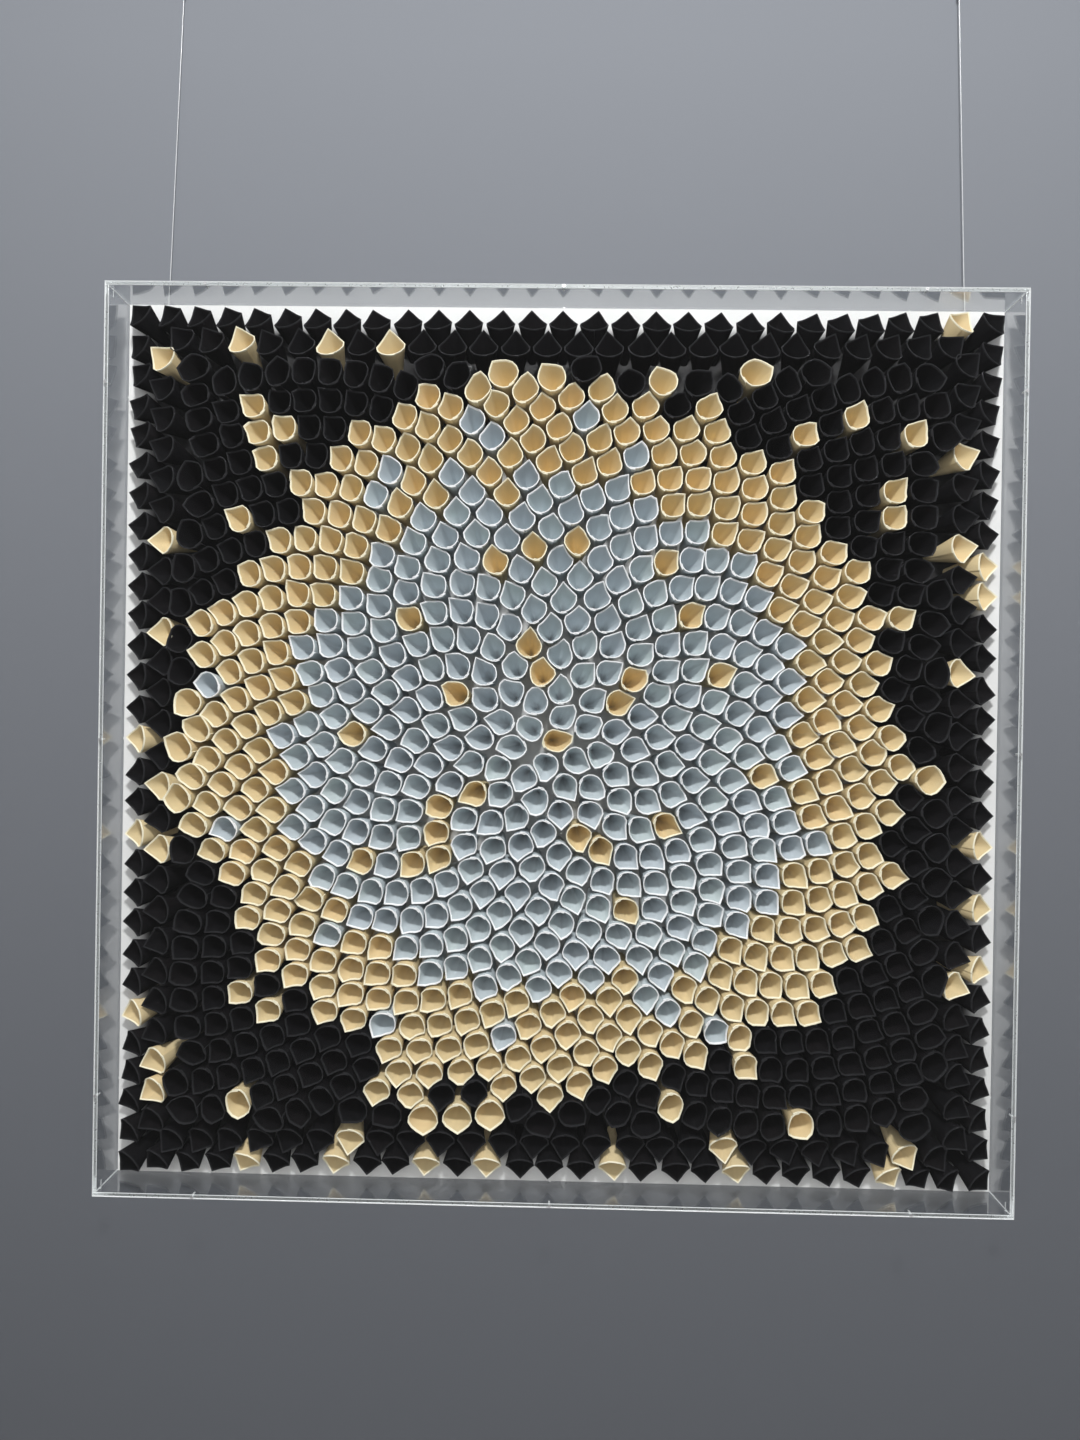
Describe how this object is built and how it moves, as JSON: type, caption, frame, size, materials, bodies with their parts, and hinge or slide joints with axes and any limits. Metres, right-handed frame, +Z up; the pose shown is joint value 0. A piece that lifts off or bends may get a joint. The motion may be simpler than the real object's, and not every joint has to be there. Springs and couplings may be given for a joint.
{
  "type": "paper relief wall art",
  "caption": "Square clear case with rolled paper cones standing on a white board in a sunflower spiral, hung on two thin lines as wall decoration.",
  "frame": {"origin": "middle of the case's flat back face, which lies against the wall", "axes": "+X to the right seen from the front, +Y into the wall, +Z up"},
  "size_m": [1, 0.074, 1.3825],
  "materials": {
    "clear_acrylic": "clear polished sheet",
    "white_board": "matte foam board",
    "blue_paper": "matte coloured paper",
    "tan_paper": "matte coloured paper",
    "black_paper": "matte coloured paper",
    "screw_steel": "bright zinc",
    "clear_line": "clear nylon line",
    "sleeve_metal": "crimped sleeve"
  },
  "bodies": {
    "root": {"front_panel": "clear_acrylic", "back_panel": "clear_acrylic", "top_wall": "clear_acrylic", "bottom_wall": "clear_acrylic", "left_wall": "clear_acrylic", "right_wall": "clear_acrylic", "backing_board": "white_board", "blue_odd_cones": "blue_paper", "blue_even_cones": "blue_paper", "tan_odd_cones": "tan_paper", "tan_even_cones": "tan_paper", "black_odd_cones": "black_paper", "black_even_cones": "black_paper", "black_second_row": "black_paper", "black_edge_row": "black_paper", "tan_strays": "tan_paper", "blue_strays": "blue_paper", "front_screws": "screw_steel", "back_screws": "screw_steel", "corner_screws": "screw_steel", "left_line": "clear_line", "right_line": "clear_line", "left_knot": "clear_line", "right_knot": "clear_line", "left_sleeve": "sleeve_metal", "right_sleeve": "sleeve_metal", "left_loop": "clear_line", "right_loop": "clear_line"}
  },
  "joints": []
}
